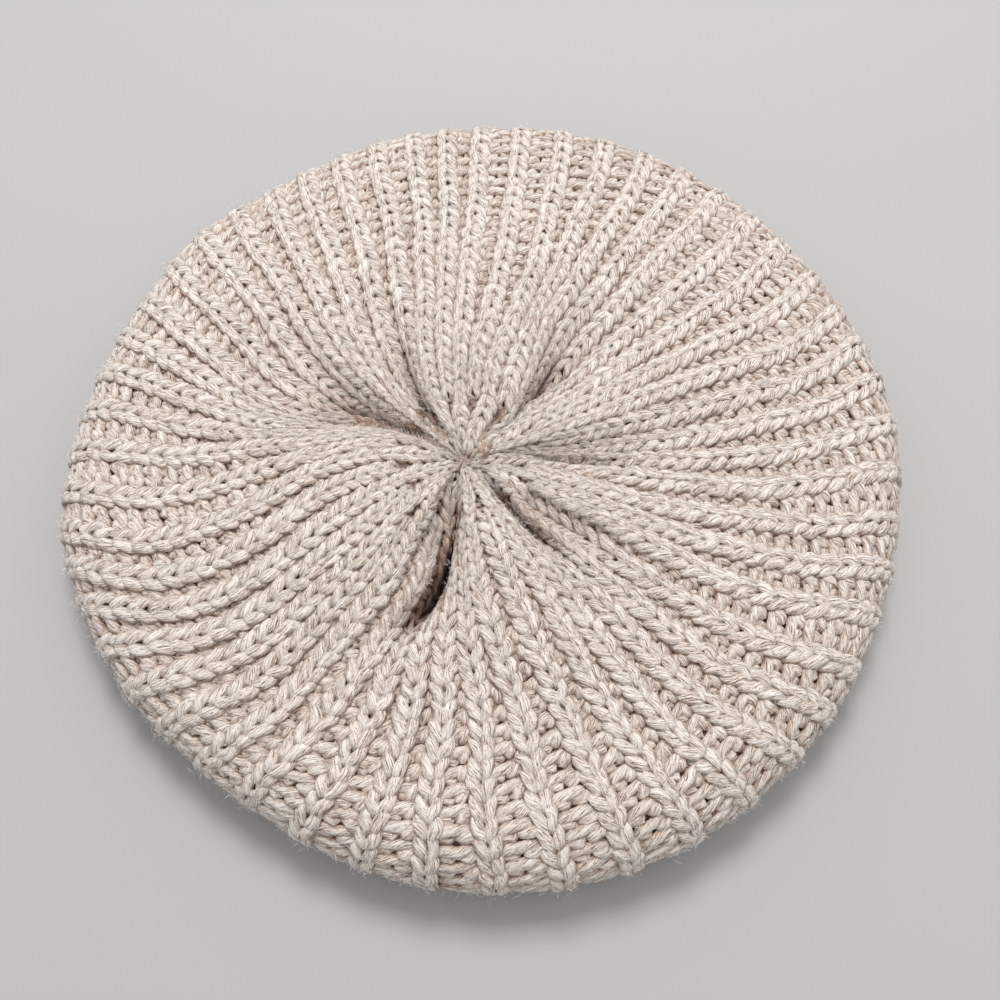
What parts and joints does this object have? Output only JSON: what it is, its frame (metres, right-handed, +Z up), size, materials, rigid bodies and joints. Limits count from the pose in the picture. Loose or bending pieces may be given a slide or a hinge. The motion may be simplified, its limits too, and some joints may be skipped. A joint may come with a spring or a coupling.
{
  "type": "knit beret",
  "caption": "Bulky rib-knit beret lying flat, its ribs drawn to a pinched point on top, with soft lobes, creases and a ribbed head opening below.",
  "frame": {"origin": "on the surface that the beret lies on, under the middle of its rim", "axes": "+Z up through the crown, -Y towards the front of the beret as the picture shows it, +X to its right"},
  "size_m": [0.2833, 0.2845, 0.0446],
  "materials": {
    "knit_yarn": "soft heathered oatmeal yarn, bulky, with a light fuzz"
  },
  "bodies": {
    "root": {"crown": "knit_yarn", "head_band": "knit_yarn"}
  },
  "joints": []
}
